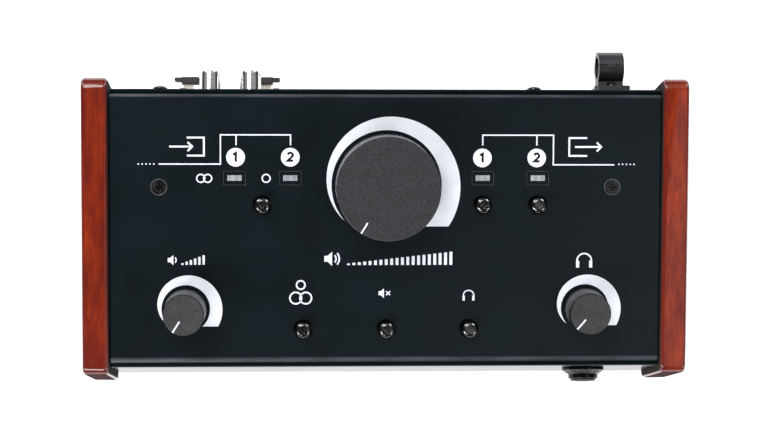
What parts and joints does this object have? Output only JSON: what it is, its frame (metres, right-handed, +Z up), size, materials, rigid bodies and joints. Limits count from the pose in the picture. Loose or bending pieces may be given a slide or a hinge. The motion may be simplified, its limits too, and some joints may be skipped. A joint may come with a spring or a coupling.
{
  "type": "studio monitor controller",
  "caption": "Desktop studio monitor controller: sloped steel console between wooden cheeks, level knobs, push buttons, headphone jack and rear sockets.",
  "frame": {"origin": "on the table, under the middle of the whole outline in X and Y", "axes": "+X to the user's right, +Y to the rear, where the sockets are, +Z up"},
  "size_m": [0.23, 0.1256, 0.0806],
  "materials": {
    "varnished_wood": "red-brown hardwood under gloss varnish",
    "black_painted_steel": "satin powder coat, near black",
    "main_knob_finish": "fine-textured charcoal moulding",
    "side_knob_finish": "fine-textured charcoal moulding",
    "pointer_paint": "white paint in a groove",
    "button_plastic": "polished black cap",
    "light_guide_plastic": "milky unlit light guide",
    "lamp_resin": "clear resin body",
    "zinc_plated_steel": "bright zinc plate",
    "blackened_steel": "black oxide",
    "blackened_nut": "black nickel",
    "foot_rubber": "matt black rubber",
    "circuit_board": "green solder mask",
    "chip_resin": "black resin package",
    "capacitor_can": "dark blue sleeve on an aluminium can",
    "ribbon_jacket": "grey vinyl",
    "zinc_alloy": "die-cast zinc",
    "black_zinc_shell": "black die-cast zinc",
    "nickel": "bright nickel plate",
    "contact_brass": "gold-plated brass",
    "black_moulding": "black moulding",
    "clip_nylon": "black nylon with a soft sheen",
    "latch_steel": "nickel-plated tongue with a dark thumb piece",
    "shaft_aluminium": "turned aluminium",
    "spring_steel": "drawn spring wire"
  },
  "bodies": {
    "root": {"amplifier_chips": "chip_resin", "board_screws": "zinc_plated_steel", "board_standoffs": "zinc_plated_steel", "cable_clip_base": "clip_nylon", "cable_clip_screw": "blackened_steel", "capacitors": "capacitor_can", "chassis": "black_painted_steel", "cheek_screws": "zinc_plated_steel", "connector_board": "circuit_board", "connector_screws": "blackened_steel", "control_board": "circuit_board", "cover_brackets": "zinc_plated_steel", "cover_screws": "blackened_steel", "foot_screws": "zinc_plated_steel", "headphone_jack": "black_moulding", "headphone_jack_contacts": "contact_brass", "headphone_jack_nut": "blackened_nut", "indicator_leds": "lamp_resin", "input_socket_cores": "black_moulding", "input_sockets": "black_zinc_shell", "left_cheek": "varnished_wood", "light_guides": "light_guide_plastic", "listen_spring": "spring_steel", "mono_spring": "spring_steel", "mute_spring": "spring_steel", "output_1_spring": "spring_steel", "output_2_spring": "spring_steel", "output_socket_cores": "black_moulding", "output_socket_pins": "contact_brass", "output_sockets": "black_zinc_shell", "phono_cores": "black_moulding", "phono_housing": "black_moulding", "phono_shells": "nickel", "potentiometer_bodies": "zinc_alloy", "potentiometer_nuts": "nickel", "power_inlet": "black_moulding", "ribbon_cable": "ribbon_jacket", "right_cheek": "varnished_wood", "rubber_feet": "foot_rubber", "source_spring": "spring_steel", "switch_housings": "black_moulding", "top_cover": "black_painted_steel"},
    "main_knob_body": {"main_shaft": "shaft_aluminium", "main_knob": "main_knob_finish", "main_pointer": "pointer_paint"},
    "aux_knob_body": {"aux_shaft": "shaft_aluminium", "aux_knob": "side_knob_finish", "aux_pointer": "pointer_paint"},
    "phones_knob_body": {"phones_shaft": "shaft_aluminium", "phones_knob": "side_knob_finish", "phones_pointer": "pointer_paint"},
    "source_button_body": {"source_button": "button_plastic"},
    "output_1_button_body": {"output_1_button": "button_plastic"},
    "output_2_button_body": {"output_2_button": "button_plastic"},
    "mono_button_body": {"mono_button": "button_plastic"},
    "mute_button_body": {"mute_button": "button_plastic"},
    "listen_button_body": {"listen_button": "button_plastic"},
    "left_latch_body": {"left_latch": "latch_steel"},
    "right_latch_body": {"right_latch": "latch_steel"},
    "clip_gate_body": {"cable_clip_gate": "clip_nylon"}
  },
  "joints": [
    {"name": "main_knob_turn", "type": "hinge", "parent": "root", "child": "main_knob_body", "pos_m": [0, 0.00949, 0.05864], "axis": [0, 0.2342, -0.9722], "range_deg": [0, 296]},
    {"name": "aux_knob_turn", "type": "hinge", "parent": "root", "child": "aux_knob_body", "pos_m": [-0.076, -0.0363, 0.04761], "axis": [0, 0.2342, -0.9722], "range_deg": [0, 296]},
    {"name": "phones_knob_turn", "type": "hinge", "parent": "root", "child": "phones_knob_body", "pos_m": [0.076, -0.0363, 0.04761], "axis": [0, 0.2342, -0.9722], "range_deg": [0, 296]},
    {"name": "source_button_press", "type": "slide", "parent": "root", "child": "source_button_body", "axis": [0, 0.2342, -0.9722], "range_m": [0, 0.0012], "stiffness_N_per_m": 700, "springref_m": -0.0008, "deforming": ["source_spring"]},
    {"name": "output_1_button_press", "type": "slide", "parent": "root", "child": "output_1_button_body", "axis": [0, 0.2342, -0.9722], "range_m": [0, 0.0012], "stiffness_N_per_m": 700, "springref_m": -0.0008, "deforming": ["output_1_spring"]},
    {"name": "output_2_button_press", "type": "slide", "parent": "root", "child": "output_2_button_body", "axis": [0, 0.2342, -0.9722], "range_m": [0, 0.0012], "stiffness_N_per_m": 700, "springref_m": -0.0008, "deforming": ["output_2_spring"]},
    {"name": "mono_button_press", "type": "slide", "parent": "root", "child": "mono_button_body", "axis": [0, 0.2342, -0.9722], "range_m": [0, 0.0012], "stiffness_N_per_m": 700, "springref_m": -0.0008, "deforming": ["mono_spring"]},
    {"name": "mute_button_press", "type": "slide", "parent": "root", "child": "mute_button_body", "axis": [0, 0.2342, -0.9722], "range_m": [0, 0.0012], "stiffness_N_per_m": 700, "springref_m": -0.0008, "deforming": ["mute_spring"]},
    {"name": "listen_button_press", "type": "slide", "parent": "root", "child": "listen_button_body", "axis": [0, 0.2342, -0.9722], "range_m": [0, 0.0012], "stiffness_N_per_m": 700, "springref_m": -0.0008, "deforming": ["listen_spring"]},
    {"name": "left_latch_press", "type": "hinge", "parent": "root", "child": "left_latch_body", "pos_m": [-0.07638, 0.0413, 0.0382], "axis": [-1, 0, 0], "range_deg": [0, 8], "stiffness_Nm_per_rad": 0.03, "springref_deg": -5.73},
    {"name": "right_latch_press", "type": "hinge", "parent": "root", "child": "right_latch_body", "pos_m": [-0.04598, 0.0413, 0.0382], "axis": [-1, 0, 0], "range_deg": [0, 8], "stiffness_Nm_per_rad": 0.03, "springref_deg": -5.73},
    {"name": "clip_gate_open", "type": "hinge", "parent": "root", "child": "clip_gate_body", "pos_m": [0.0873, 0.0567, 0.04635], "axis": [-1, 0, 0], "range_deg": [0, 75]}
  ]
}
